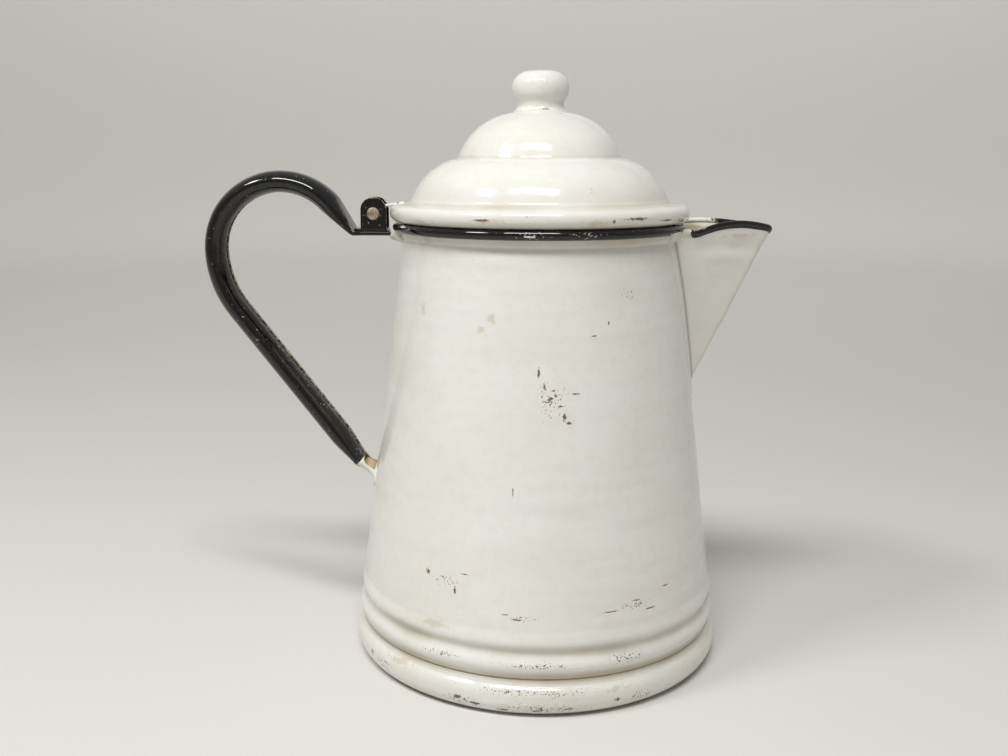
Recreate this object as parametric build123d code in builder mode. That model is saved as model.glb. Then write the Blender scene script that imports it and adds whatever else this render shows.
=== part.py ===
from build123d import *
from math import acos, asin, atan2, cos, degrees, floor, hypot, radians, sin, tan
import os

os.makedirs("parts", exist_ok=True)

# Enamelled coffee pot, standing on its base with the spout towards +X and the
# handle and lid hinge towards -X. All lengths are millimetres. Every sheet part
# is drawn as the middle line of its sheet, which is then given the sheet's gauge.

# Sheet steel with its enamel on both faces
gauge = 1.2

# Pressed base with a fat rounded heel
base_radius = 88.0
heel_radius = 7.5
heel_height = 9.5
seam_height = 17.2
shoulder_inset = 2.6
collar_height = 7.0
lap_clearance = 0.15

# Tapered body with two swaged beads just above the seam
seam_inset = 2.8
bead_2_inset = 1.7
bead_2_rise = 5.6
groove_inset = 3.8
groove_rise = 11.2
bead_1_inset = 2.9
bead_1_rise = 15.8
foot_inset = 4.0
foot_rise = 20.8
neck_inset = 24.4
neck_height = 197.6
rim_rise = 5.4
rim_flare = 2.6
rim_bead_radius = 2.1

# Lid: two domes, one above the other, on a rolled brim with a plug skirt
lid_gap = 0.3
brim_overhang = 1.1
brim_section_radius = 4.0
skirt_clearance = 0.9
skirt_depth = 6.4
ledge_width = 10.0
ledge_rise = 0.7
lower_dome_radius = 28.7
lower_dome_foot = 9.3
step_angle = 79.0
step_rise = 1.4
upper_dome_lean = 20.7
crown_flat = 9.4
vent_radius = 1.2

# Knob, a hollow pressed button spot welded on the crown of the lid
knob_radius = 13.2
knob_height = 18.2
knob_crown_radius = 7.8
knob_neck_radius = 10.5
knob_neck_height = 2.8
knob_foot_radius = 12.2

# Spout, one sheet folded to a V and welded over the strainer holes
spout_reach = 43.4
spout_depth = 73.2
spout_half_angle = 25.0
spout_nose_radius = 4.2
lip_drop = 0.8
lip_bead_radius = 1.3
spout_lap = 4.0
spout_lap_gauge = 1.0
strainer_hole_radius = 2.2
strainer_pitch = 7.0
strainer_margin = 5.0
strainer_drop = 14.2
strainer_foot = 23.0

# Hinge: a U-shaped clevis, a rivet and the strap on the lid
pivot_reach = 7.8
pivot_rise = 5.8
ear_half_width = 6.1
ear_top_rise = 7.7
ear_gauge = 1.5
ear_gap = 7.2
clevis_plate_gauge = 1.4
clevis_toe = 3.2
clevis_heel = 0.4
rivet_radius = 2.0
rivet_fit = 0.04
rivet_head_radius = 3.0
rivet_head_height = 1.5
rivet_head_round = 1.1
strap_width = 6.4
strap_gauge = 1.6
strap_shoulder = 1.8
strap_lap = 2.6
strap_lap_gauge = 0.4
eye_radius = 3.5
eye_fit = 0.06

# Handle, a strip rolled to a tube with an open seam on the hand side
handle_width = 19.0
handle_depth = 9.3
handle_seam = 2.4
loop_offset = 44.5
loop_drop = 17.1
loop_radius = 31.8
back_radius = 47.2
loop_end_angle = 42.0
tongue_gauge = 2.2
tongue_width = 14.0
tongue_root = 10.0
tongue_clearance = 0.3
pinch_width = 18.0
pinch_cavity = 0.55
handle_foot_height = 89.0
handle_foot_reach = 9.0

# Brackets that carry the two ends of the handle
upper_bracket_width = 16.4
upper_bracket_drop = 4.0
bracket_toe = 0.7
bracket_gap = 0.3
lower_bracket_width = 21.0
lower_bracket_depth = 11.5
lower_bracket_drop = 6.4
scoop_radius = 6.8
scoop_rise = 5.5
bracket_lap = 2.4
bracket_lap_gauge = 0.9

half = gauge / 2


def inset_radius(inset):
    """Mid-sheet radius of a point given by how far it lies inside the heel."""
    return base_radius - inset - half


# Places that several pieces share
foot_radius = base_radius - foot_inset
foot_height = seam_height + foot_rise
neck_radius = base_radius - neck_inset
rim_height = neck_height + rim_rise
lip_height = rim_height - lip_drop
spout_foot_height = lip_height - spout_depth
taper = (foot_radius - neck_radius) / (neck_height - foot_height)
rim_core_radius = neck_radius + rim_flare
rim_top = rim_height + rim_bead_radius
brim_reach = rim_core_radius + rim_bead_radius + brim_overhang
brim_core_radius = brim_reach - brim_section_radius
brim_core_height = rim_top + lid_gap + brim_section_radius
pivot_x = -(brim_reach + pivot_reach)
pivot_z = rim_height + pivot_rise
tongue_top = rim_height - rim_bead_radius - tongue_clearance
tongue_middle = tongue_top - tongue_gauge / 2


def wall_radius(height):
    """Outside radius of the tapered wall at a height above the floor."""
    return foot_radius - (height - foot_height) * taper


# Section of the body sheet with its beads, its flare and its rolled rim
seam = (inset_radius(seam_inset), seam_height + half)
bead_2 = (inset_radius(bead_2_inset), seam_height + bead_2_rise)
groove = (inset_radius(groove_inset), seam_height + groove_rise)
bead_1 = (inset_radius(bead_1_inset), seam_height + bead_1_rise)
foot = (foot_radius - half, foot_height)
with BuildSketch(Plane.XZ) as wall_section:
    with BuildLine():
        TangentArc(bead_2, seam, tangent=(0, -1))
        for start, end, lean in ((bead_2, groove, 0), (groove, bead_1, 0), (bead_1, foot, taper)):
            middle = ((start[0] + end[0]) / 2 + lean * (end[1] - start[1]) / 8, (start[1] + end[1]) / 2)
            first = TangentArc(start, middle, tangent=(0, 1))
            second = TangentArc(middle, end, tangent=first % 1)
        side = Line(second @ 1, (neck_radius - half, neck_height))
        bead_root = rim_bead_radius * 0.45
        Line(side @ 1, (rim_core_radius - bead_root, rim_height - bead_root))
        offset(amount=half, side=Side.BOTH)
    make_face()
    with Locations((rim_core_radius, rim_height)):
        Circle(rim_bead_radius)

# The body's outside as one filled form, which shapes everything that is welded on to it
with BuildPart() as pot_form:
    add(wall_section.sketch)
    with BuildSketch(Plane.XZ):
        with BuildLine():
            Polyline(
                (0, foot_height),
                (foot_radius - half, foot_height),
                (neck_radius - half, neck_height),
                (rim_core_radius, rim_height),
                (0, rim_height),
                close=True,
            )
        make_face()
    revolve(axis=Axis.Z)


def spout_plan(shift):
    """Plan of the spout: two straight sides that meet in a rounded nose."""
    side_turn = 90 - spout_half_angle
    run = (spout_nose_x - neck_radius / 2) / cos(radians(spout_half_angle))
    back = Vector(-cos(radians(spout_half_angle)), sin(radians(spout_half_angle)))
    with BuildSketch(Plane.XY.offset(lip_height)) as plan:
        with BuildLine():
            nose = CenterArc((spout_nose_x, 0), spout_nose_radius + shift, -side_turn, 2 * side_turn)
            left = Line(nose @ 1, nose @ 1 + back * run)
            right = Line(nose @ 0, nose @ 0 + Vector(back.X, -back.Y) * run)
            Line(left @ 1, right @ 1)
        make_face()
    return plan.sketch


spout_tip_x = neck_radius + spout_reach
spout_nose_x = spout_tip_x - spout_nose_radius
fold_slope = (spout_tip_x - wall_radius(spout_foot_height)) / (lip_height - spout_foot_height)
fold_dir = (-fold_slope, 0, -1)
fold_run = 1.2 * (lip_height - spout_foot_height) * hypot(1, fold_slope)


def spout_half_width(height):
    """Clear half width of the V where it meets the wall."""
    nose_back = spout_nose_radius / sin(radians(spout_half_angle)) - spout_nose_radius
    apex = spout_tip_x + nose_back - fold_slope * (lip_height - height)
    return (apex - wall_radius(height)) * tan(radians(spout_half_angle)) - gauge


# Body
with BuildPart() as body:
    add(wall_section.sketch)
    revolve(axis=Axis.Z)
    with BuildSketch(Plane.YZ.offset(neck_radius / 2)):
        strainer_height = spout_depth - strainer_drop - strainer_foot
        for row in range(floor(strainer_height / strainer_pitch) + 1):
            row_height = lip_height - strainer_drop - row * strainer_pitch
            side_holes = floor((spout_half_width(row_height) - strainer_margin) / strainer_pitch)
            with Locations((0, row_height)):
                with GridLocations(strainer_pitch, strainer_pitch, 2 * side_holes + 1, 1):
                    Circle(strainer_hole_radius)
    extrude(amount=base_radius - neck_radius / 2, mode=Mode.SUBTRACT)
body.part.label = "body"
export_step(body.part, "parts/body.step")

# Base
with BuildPart() as base_pan:
    with BuildSketch(Plane.XZ):
        with BuildLine():
            collar_radius = inset_radius(seam_inset) - gauge - lap_clearance
            flat = Line((0, half), (base_radius - heel_radius, half))
            heel = CenterArc((base_radius - heel_radius, heel_radius), heel_radius - half, -90, 90)
            rise = Line(heel @ 1, (base_radius - half, heel_height))
            shoulder = TangentArc(rise @ 1, (inset_radius(shoulder_inset), seam_height - gauge), tangent=(0, 1))
            step = Line(shoulder @ 1, (collar_radius, seam_height - gauge / 4))
            Line(step @ 1, (collar_radius, seam_height + collar_height))
            offset(amount=half, side=Side.BOTH)
        make_face()
        Rectangle(base_radius, seam_height + 2 * collar_height, align=(Align.MIN, Align.MIN), mode=Mode.INTERSECT)
    revolve(axis=Axis.Z)
base_pan.part.label = "base_pan"
export_step(base_pan.part, "parts/base_pan.step")

# Spout
with BuildPart() as spout_lap_ring:
    with BuildSketch(Plane.XZ):
        with BuildLine():
            Polyline(
                (wall_radius(foot_height), foot_height),
                (wall_radius(foot_height) + spout_lap_gauge, foot_height),
                (neck_radius + spout_lap_gauge, neck_height),
                (neck_radius, neck_height),
                close=True,
            )
        make_face()
    revolve(axis=Axis.Z)
    extrude(spout_plan(spout_lap), amount=fold_run, dir=fold_dir, mode=Mode.INTERSECT)

with BuildPart() as spout:
    extrude(spout_plan(0), amount=fold_run, dir=fold_dir)
    add(spout_lap_ring.part)
    with BuildLine(Plane.XY.offset(lip_height)) as lip_line:
        lip_turn = 90 - spout_half_angle
        lip_run = (spout_tip_x - rim_core_radius) / cos(radians(spout_half_angle))
        lip_back = Vector(-cos(radians(spout_half_angle)), sin(radians(spout_half_angle)))
        lip_nose = CenterArc((spout_nose_x, 0), spout_nose_radius - half, -lip_turn, 2 * lip_turn)
        Line(lip_nose @ 1, lip_nose @ 1 + lip_back * lip_run)
        Line(lip_nose @ 0, lip_nose @ 0 + Vector(lip_back.X, -lip_back.Y) * lip_run)
    lip_start = lip_nose @ 0 + Vector(lip_back.X, -lip_back.Y) * lip_run
    with BuildSketch(Plane(origin=lip_start, z_dir=Vector(-lip_back.X, lip_back.Y), x_dir=(0, 0, 1))):
        Circle(lip_bead_radius)
    sweep(path=lip_line.wires()[0])
    extrude(spout_plan(-gauge), amount=fold_run, dir=fold_dir, mode=Mode.SUBTRACT)
    extrude(spout_plan(-gauge), amount=rim_top - lip_height + gauge, mode=Mode.SUBTRACT)
    add(pot_form.part, mode=Mode.SUBTRACT)
spout.part.label = "spout"
export_step(spout.part, "parts/spout.step")

# Lid
with BuildPart() as lid:
    with BuildSketch(Plane.XZ):
        with BuildLine():
            dome_foot_radius = brim_reach - ledge_width
            lower_height = brim_core_height + brim_section_radius + ledge_rise - lower_dome_foot + 1.3
            lower_turn = degrees(asin(lower_dome_foot / lower_dome_radius))
            lower_x = dome_foot_radius - lower_dome_radius * cos(radians(lower_turn))
            lower_arc_radius = lower_dome_radius - half
            step_x = lower_x + lower_arc_radius * cos(radians(step_angle))
            step_z = lower_height + lower_arc_radius * sin(radians(step_angle))
            upper_arc_radius = (step_x - step_rise / 2 - crown_flat) / cos(radians(upper_dome_lean))
            upper_height = step_z + step_rise - upper_arc_radius * sin(radians(upper_dome_lean))
            crown_height = upper_height + upper_arc_radius
            skirt_radius = neck_radius - gauge - skirt_clearance - half
            brim_mid = brim_section_radius - half
            Line((vent_radius + half, crown_height), (crown_flat, crown_height))
            upper = CenterArc((crown_flat, upper_height), upper_arc_radius, 90, upper_dome_lean - 90)
            lower = CenterArc((lower_x, lower_height), lower_arc_radius, step_angle, lower_turn - step_angle)
            Line(upper @ 1, lower @ 0)
            fall = Line(lower @ 1, (dome_foot_radius + 1.0, brim_core_height + brim_mid + ledge_rise))
            ledge = Line(fall @ 1, (brim_core_radius, brim_core_height + brim_mid))
            brim = CenterArc((brim_core_radius, brim_core_height), brim_mid, 90, -180)
            under = Line(brim @ 1, (skirt_radius, brim_core_height - brim_mid))
            Line(under @ 1, (skirt_radius, brim_core_height - brim_mid - skirt_depth))
            offset(amount=half, side=Side.BOTH)
        make_face()
    revolve(axis=Axis.Z)
lid.part.label = "lid"
export_step(lid.part, "parts/lid.step")

# Knob
with BuildPart() as lid_knob:
    with BuildSketch(Plane.XZ):
        with BuildLine():
            crown_top = crown_height + half
            knob_x = knob_radius - knob_crown_radius
            knob_z = crown_top + knob_height - knob_crown_radius
            Line((0, crown_top + knob_height - half), (knob_x, crown_top + knob_height - half))
            button = CenterArc((knob_x, knob_z), knob_crown_radius - half, 90, -127)
            ThreePointArc(
                button @ 1,
                (knob_neck_radius - half, crown_top + knob_neck_height),
                (knob_foot_radius - half, crown_top + half),
            )
            offset(amount=half, side=Side.BOTH)
        make_face()
        with Locations((0, crown_top)):
            Rectangle(2 * knob_radius, 2 * knob_height, align=(Align.MIN, Align.MIN), mode=Mode.INTERSECT)
    revolve(axis=Axis.Z)
lid_knob.part.label = "lid_knob"
export_step(lid_knob.part, "parts/lid_knob.step")

# Clevis
ear_centre_z = pivot_z + ear_top_rise - ear_half_width
clevis_left = pivot_x - ear_half_width - clevis_toe
clevis_right = pivot_x + ear_half_width + clevis_heel
with BuildPart() as hinge_clevis:
    with BuildSketch(Plane.XZ.offset(-ear_gap / 2 - ear_gauge)):
        with Locations((pivot_x, ear_centre_z)):
            Circle(ear_half_width)
        with Locations((pivot_x, tongue_top)):
            Rectangle(2 * ear_half_width, ear_centre_z - tongue_top, align=(Align.CENTER, Align.MIN))
    extrude(amount=ear_gap + 2 * ear_gauge)
    with Locations((pivot_x, 0, tongue_top + clevis_plate_gauge)):
        Box(
            3 * ear_half_width,
            ear_gap,
            2 * ear_half_width + ear_top_rise,
            align=(Align.CENTER, Align.CENTER, Align.MIN),
            mode=Mode.SUBTRACT,
        )
    with Locations(((clevis_left + clevis_right) / 2, 0, tongue_top)):
        Box(
            clevis_right - clevis_left,
            ear_gap + 2 * ear_gauge,
            clevis_plate_gauge,
            align=(Align.CENTER, Align.CENTER, Align.MIN),
        )
    with Locations(Plane.XZ.offset(0)):
        with Locations((pivot_x, pivot_z)):
            Hole(rivet_radius + rivet_fit, depth=ear_gap + 2 * ear_gauge)
hinge_clevis.part.label = "hinge_clevis"
export_step(hinge_clevis.part, "parts/hinge_clevis.step")

# Rivet
rivet_length = ear_gap + 2 * ear_gauge
with BuildPart() as hinge_rivet:
    with BuildSketch(Plane.XZ.offset(-rivet_length / 2)):
        with Locations((pivot_x, pivot_z)):
            Circle(rivet_radius)
    extrude(amount=rivet_length)
    for face_offset in (-rivet_length / 2 - rivet_head_height, rivet_length / 2):
        with BuildSketch(Plane.XZ.offset(face_offset)):
            with Locations((pivot_x, pivot_z)):
                Circle(rivet_head_radius)
        extrude(amount=rivet_head_height)
    fillet(hinge_rivet.edges().filter_by(GeomType.CIRCLE).group_by(Axis.Y)[0], rivet_head_round)
    fillet(hinge_rivet.edges().filter_by(GeomType.CIRCLE).group_by(Axis.Y)[-1], rivet_head_round)
hinge_rivet.part.label = "hinge_rivet"
export_step(hinge_rivet.part, "parts/hinge_rivet.step")

# Strap on the lid
ledge_top = brim_core_height + brim_section_radius
with BuildPart() as lid_strap:
    with BuildSketch(Plane.XZ.offset(-strap_width / 2)):
        with Locations((pivot_x, pivot_z)):
            Circle(eye_radius)
        with BuildLine():
            Polyline(
                (pivot_x, pivot_z + strap_gauge / 2),
                (-brim_reach + strap_shoulder, ledge_top + strap_lap_gauge),
                (-brim_core_radius + strap_lap, ledge_top + strap_lap_gauge + ledge_rise / 2),
                (-brim_core_radius + strap_lap, ledge_top - half),
                (-brim_core_radius, ledge_top - half),
                (-brim_reach, ledge_top - 1.5 * strap_gauge),
                (pivot_x, pivot_z - strap_gauge / 2),
                close=True,
            )
        make_face()
        with Locations((pivot_x, pivot_z)):
            Circle(rivet_radius + eye_fit, mode=Mode.SUBTRACT)
    extrude(amount=strap_width)
    add(lid.part, mode=Mode.SUBTRACT)
lid_strap.part.label = "lid_strap"
export_step(lid_strap.part, "parts/lid_strap.step")

# Handle: an oval tube with its open seam on the hand side
loop_x = pivot_x - loop_offset
loop_z = pivot_z - loop_drop
back_x = loop_x + back_radius - loop_radius
foot_x = -wall_radius(handle_foot_height) - handle_foot_reach
foot_distance = hypot(foot_x - back_x, handle_foot_height - loop_z)
foot_bearing = degrees(atan2(handle_foot_height - loop_z, foot_x - back_x)) % 360
back_end_angle = foot_bearing - degrees(acos(back_radius / foot_distance))
loop_start = Vector(
    loop_x + loop_radius * cos(radians(loop_end_angle)),
    0,
    loop_z + loop_radius * sin(radians(loop_end_angle)),
)
loop_tangent = Vector(-sin(radians(loop_end_angle)), 0, cos(radians(loop_end_angle)))
pinch_x = clevis_left - tongue_gauge / 2
pinch_point = Vector(pinch_x, 0, tongue_middle)
foot_direction = Vector(cos(radians(back_end_angle + 90)), 0, sin(radians(back_end_angle + 90)))


with BuildPart() as handle:
    with BuildLine(Plane.XZ) as handle_line:
        loop = CenterArc((loop_x, loop_z), loop_radius, loop_end_angle, 180 - loop_end_angle)
        back = CenterArc((back_x, loop_z), back_radius, 180, back_end_angle - 180)
        Line(back @ 1, (foot_x, handle_foot_height))
    with BuildSketch(Plane(origin=loop_start, z_dir=loop_tangent, x_dir=(0, 1, 0))):
        Ellipse(handle_width / 2, handle_depth / 2)
        Ellipse(handle_width / 2 - gauge, handle_depth / 2 - gauge, mode=Mode.SUBTRACT)
        with Locations((0, handle_depth / 2)):
            Rectangle(handle_seam, 3 * gauge, mode=Mode.SUBTRACT)
    sweep(path=handle_line.wires()[0])
    pinch_axis = (loop_start - pinch_point).normalized()
    with BuildSketch(Plane(origin=loop_start, z_dir=loop_tangent, x_dir=(0, 1, 0))):
        Ellipse(handle_width / 2, handle_depth / 2)
    with BuildSketch(Plane(origin=pinch_point, z_dir=pinch_axis, x_dir=(0, 1, 0))):
        Ellipse(pinch_width / 2, tongue_gauge / 2)
    loft()
    cavity_end = loop_start + (pinch_point - loop_start) * pinch_cavity
    with BuildSketch(Plane(origin=loop_start, z_dir=loop_tangent, x_dir=(0, 1, 0))):
        Ellipse(handle_width / 2 - gauge, handle_depth / 2 - gauge)
    with BuildSketch(Plane(origin=cavity_end, z_dir=pinch_axis, x_dir=(0, 1, 0))):
        Ellipse(handle_width / 3, gauge / 2)
    loft(mode=Mode.SUBTRACT)
    tongue_length = -pinch_x - wall_radius(tongue_middle) + tongue_root
    with Locations((pinch_x + tongue_length / 2, 0, tongue_middle)):
        Box(tongue_length, tongue_width, tongue_gauge)
    with Locations((pinch_x, 0, tongue_middle)):
        Cylinder(tongue_gauge / 2, tongue_width, rotation=(90, 0, 0))
    add(pot_form.part, mode=Mode.SUBTRACT)
handle.part.label = "handle"
export_step(handle.part, "parts/handle.step")

# Upper bracket: a welded angle that wraps the root of the tongue
bracket_left = clevis_right + bracket_gap
bracket_seat = tongue_top - tongue_gauge
bracket_wall_x = -wall_radius(bracket_seat)
with BuildPart() as upper_bracket:
    with BuildSketch(Plane.XZ.offset(-upper_bracket_width / 2)):
        with BuildLine():
            Polyline(
                (bracket_wall_x + tongue_root, tongue_top + clevis_plate_gauge),
                (bracket_left, tongue_top + clevis_plate_gauge),
                (bracket_left + bracket_toe, bracket_seat - bracket_toe),
                (bracket_wall_x - bracket_toe, bracket_seat - upper_bracket_drop),
                (bracket_wall_x + tongue_root, bracket_seat - upper_bracket_drop),
                close=True,
            )
        make_face()
    extrude(amount=upper_bracket_width)
    add(handle.part, mode=Mode.SUBTRACT)
    add(pot_form.part, mode=Mode.SUBTRACT)
upper_bracket.part.label = "upper_bracket"
export_step(upper_bracket.part, "parts/upper_bracket.step")

# Lower bracket
with BuildPart() as lower_lap_ring:
    with BuildSketch(Plane.XZ):
        with BuildLine():
            Polyline(
                (wall_radius(foot_height), foot_height),
                (wall_radius(foot_height) + bracket_lap_gauge, foot_height),
                (neck_radius + bracket_lap_gauge, neck_height),
                (neck_radius, neck_height),
                close=True,
            )
        make_face()
    revolve(axis=Axis.Z)
    with BuildSketch(Plane.YZ.offset(foot_x)):
        with Locations((0, handle_foot_height - lower_bracket_drop)):
            Ellipse(lower_bracket_width / 2 + bracket_lap, lower_bracket_depth / 2 + bracket_lap)
    extrude(amount=2 * handle_foot_reach, mode=Mode.INTERSECT)

foot_end = Vector(foot_x, 0, handle_foot_height)
foot_end_plane = Plane(origin=foot_end, z_dir=foot_direction, x_dir=(0, 1, 0))
weld_plane = Plane(
    origin=(foot_x + handle_foot_reach + 2 * gauge, 0, handle_foot_height - lower_bracket_drop),
    z_dir=(1, 0, 0),
    x_dir=(0, 1, 0),
)
with BuildPart() as lower_bracket:
    with BuildSketch(foot_end_plane):
        Ellipse(handle_width / 2, handle_depth / 2)
    with BuildSketch(weld_plane):
        Ellipse(lower_bracket_width / 2, lower_bracket_depth / 2)
    loft()
    add(lower_lap_ring.part)
    with BuildSketch(foot_end_plane):
        Ellipse(handle_width / 2 - gauge, handle_depth / 2 - gauge)
    with BuildSketch(weld_plane):
        Ellipse(lower_bracket_width / 2 - gauge, lower_bracket_depth / 2 - gauge)
    loft(mode=Mode.SUBTRACT)
    with BuildSketch(Plane.XZ.offset(-lower_bracket_width)):
        with Locations((-wall_radius(handle_foot_height), handle_foot_height + scoop_rise)):
            SlotCenterPoint((0, scoop_radius), (0, 0), 2 * scoop_radius)
    extrude(amount=2 * lower_bracket_width, mode=Mode.SUBTRACT)
    add(pot_form.part, mode=Mode.SUBTRACT)
lower_bracket.part.label = "lower_bracket"
export_step(lower_bracket.part, "parts/lower_bracket.step")
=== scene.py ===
"""An old enamelled coffee pot with a hinged lid, standing on a pale floor.

Each section makes one piece of the pot, in the order in which the pot is put together.
Shapes are worked out in millimetres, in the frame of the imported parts: the spout is
towards +X, the handle and the hinge are towards -X, and the floor is z = 0.
"""

import bmesh
import bpy
import numpy as np
from mathutils import Matrix, Vector


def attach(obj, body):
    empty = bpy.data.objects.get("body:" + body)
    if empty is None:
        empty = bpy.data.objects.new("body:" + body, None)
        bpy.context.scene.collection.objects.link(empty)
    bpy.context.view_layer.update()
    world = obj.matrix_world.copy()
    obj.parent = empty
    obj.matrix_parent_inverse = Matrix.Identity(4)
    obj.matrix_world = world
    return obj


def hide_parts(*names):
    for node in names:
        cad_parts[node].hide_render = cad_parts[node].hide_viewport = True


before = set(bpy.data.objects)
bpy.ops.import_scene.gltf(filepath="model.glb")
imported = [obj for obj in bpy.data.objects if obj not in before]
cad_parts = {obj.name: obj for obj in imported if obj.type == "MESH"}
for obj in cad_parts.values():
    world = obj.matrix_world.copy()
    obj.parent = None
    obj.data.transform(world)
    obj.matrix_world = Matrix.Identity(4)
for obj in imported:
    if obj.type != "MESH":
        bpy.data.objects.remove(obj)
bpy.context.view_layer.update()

# Body: a sheet of steel rolled to a tapered tube, with two beads swaged above its foot
# and its rim flared and rolled over a wire. White vitreous enamel is fired over all of
# it, and black enamel is brushed on the rolled rim, where knocks have worn it through.
MM = 0.001
SHEET = 1.2
SEAM = (84.6, 17.8)
BEADS = [(85.8, 22.8), (83.4, 28.2), (84.7, 33.0)]
WALL_FOOT = (83.4, 39.0)
NECK = (63.0, 197.6)
FLARE_TOP = (65.3, 202.1)
RIM_CORE = (66.2, 203.0)
RIM_BEAD = 2.1
BODY_WAVER = 0.11
STRAINER_TOP = 188.0
STRAINER_PITCH = 7.0
STRAINER_ROWS = (5, 5, 3, 3, 3, 1)
STRAINER_RADIUS = 2.2
STRAINER_REACH = 62.0
PUNCH_LENGTH = 30.0
GLASS_IOR = 1.52
BAND_SIZE = (55, 55, 7)
PINHOLE_PITCH = 5.5
PINHOLE_RADII = (0.28, 0.10)
SAME_POINT = 2e-6


def arc(centre, radius, start, end, count=25):
    """Points on a circle: the centre plus radius (cos a, sin a), a from start to end degrees."""
    a = np.radians(np.linspace(start, end, count))
    return np.array(centre) + radius * np.stack([np.cos(a), np.sin(a)], axis=-1)


def eased(points, ease, longest=3.0, tightest=7.0):
    """The line through the points, as a press leaves it. Each corner becomes a running mean
    over the ease, in millimetres to either side. Points are then set one to each `longest`
    millimetres or `tightest` degrees, so that they lie close where the line turns."""
    points = np.vstack(points)
    step = 0.1
    run = np.concatenate([[0], np.cumsum(np.linalg.norm(np.diff(points, axis=0), axis=1))])
    even = np.linspace(0, run[-1], int(run[-1] / step) + 2)
    line = np.stack([np.interp(even, run, column) for column in points.T], axis=-1)
    reach = max(1, round(ease / step))
    before = 2 * line[0] - line[reach:0:-1]
    after = 2 * line[-1] - line[-2:-reach - 2:-1]
    weight = np.hanning(2 * reach + 3)[1:-1]
    wide = np.vstack([before, line, after])
    line = np.stack([np.convolve(column, weight / weight.sum(), "valid") for column in wide.T], axis=-1)
    along = np.diff(line, axis=0)
    length = np.linalg.norm(along, axis=1)
    along = along / length[:, None]
    turn = np.degrees(np.arccos(np.clip((along[1:] * along[:-1]).sum(axis=1), -1, 1)))
    count = np.cumsum(length / longest + np.append(turn, 0) / tightest)
    count = np.concatenate([[0], count])
    at = np.linspace(0, count[-1], int(np.ceil(count[-1])) + 1)
    return np.stack([np.interp(at, count, column) for column in line.T], axis=-1)


def sheet(line, gauge=SHEET, from_axis=False):
    """Section of a sheet: its middle line moved half the gauge to either side along its
    normal, with a half-round edge at each end that is not on the pot's axis."""
    along = np.gradient(line, axis=0)
    along = along / np.linalg.norm(along, axis=1)[:, None]
    across = np.stack([-along[:, 1], along[:, 0]], axis=-1) * gauge / 2
    a = np.radians(np.linspace(90, -90, 7))[1:-1, None]
    end = line[-1] + np.cos(a) * along[-1] * gauge / 2 + np.sin(a) * across[-1]
    start = line[0] - np.cos(a) * along[0] * gauge / 2 - np.sin(a) * across[0]
    loop = [line + across, end, (line - across)[::-1]]
    return np.vstack(loop if from_axis else loop + [start])


def lattice(points, round_first=False, round_second=False):
    """Points and quads of a grid: each quad joins four neighbours, and the grid closes on
    itself along a direction that goes round."""
    index = np.arange(points.shape[0] * points.shape[1]).reshape(points.shape[:2])
    if round_first:
        index = np.vstack([index, index[:1]])
    if round_second:
        index = np.hstack([index, index[:, :1]])
    quads = np.stack([index[:-1, :-1], index[1:, :-1], index[1:, 1:], index[:-1, 1:]], axis=-1)
    return points.reshape(-1, 3), quads.reshape(-1, 4)


def turned(section, from_axis=False, waver=0.0, steps=180):
    """Surface of revolution: each (r, z) of the section goes round as (r cos a, r sin a, z).
    The waver is how far, in millimetres, the hand-worked sheet wanders from round: a sum of
    slow sines of the bearing and the height, the same for both faces of the sheet."""
    a = np.linspace(0, 2 * np.pi, steps, endpoint=False)[:, None]
    r, z = section.T
    slow = np.sin(2 * a + z / 47) + 0.6 * np.sin(3 * a - z / 29) + 0.25 * np.sin(7 * a + z / 13)
    r = r + waver * slow * np.minimum(r / 60, 1)
    return lattice(np.stack([r * np.cos(a), r * np.sin(a), z + 0 * a], axis=-1), True, not from_axis)


def placed(name, data):
    """A new object in the scene."""
    made = bpy.data.objects.new(name, data)
    bpy.context.collection.objects.link(made)
    return made


def formed(name, node, body, surfaces, coats, rub=None):
    """The finished piece in place of its CAD node: the surfaces in one mesh, each with its
    coat, points shared at poles and seams, faces outwards, shaded smooth. The rub, one value
    to each point, says how far the piece's edges have been handled, for its material."""
    starts = np.cumsum([0] + [len(points) for points, quads in surfaces])
    points = np.vstack([points for points, quads in surfaces]) * MM
    coat = np.concatenate([np.full(len(quads), min(k, len(coats) - 1))
                           for k, (_, quads) in enumerate(surfaces)])
    quads = np.vstack([quads + start for (_, quads), start in zip(surfaces, starts)])
    mesh = bpy.data.meshes.new(name)
    mesh.from_pydata(points.tolist(), [], quads.tolist())
    mesh.polygons.foreach_set("material_index", coat.astype(np.int32))
    if rub is not None:
        rubbed = mesh.attributes.new("rub", "FLOAT", "POINT")
        rubbed.data.foreach_set("value", rub.ravel().astype(np.float32))
    work = bmesh.new()
    work.from_mesh(mesh)
    bmesh.ops.remove_doubles(work, verts=work.verts, dist=SAME_POINT)
    bmesh.ops.recalc_face_normals(work, faces=work.faces)
    work.to_mesh(mesh)
    work.free()
    mesh.shade_smooth()
    for material in coats:
        mesh.materials.append(material)
    piece = placed(name, mesh)
    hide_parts(node)
    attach(piece, body)
    return piece


def linear(code):
    """Linear colour of an sRGB hex code: c / 12.92 near black, else ((c + 0.055) / 1.055) ** 2.4."""
    c = np.array([int(code[k:k + 2], 16) for k in (1, 3, 5)]) / 255
    c = np.where(c <= 0.04045, c / 12.92, ((c + 0.055) / 1.055) ** 2.4)
    return (*c.tolist(), 1.0)


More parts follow.
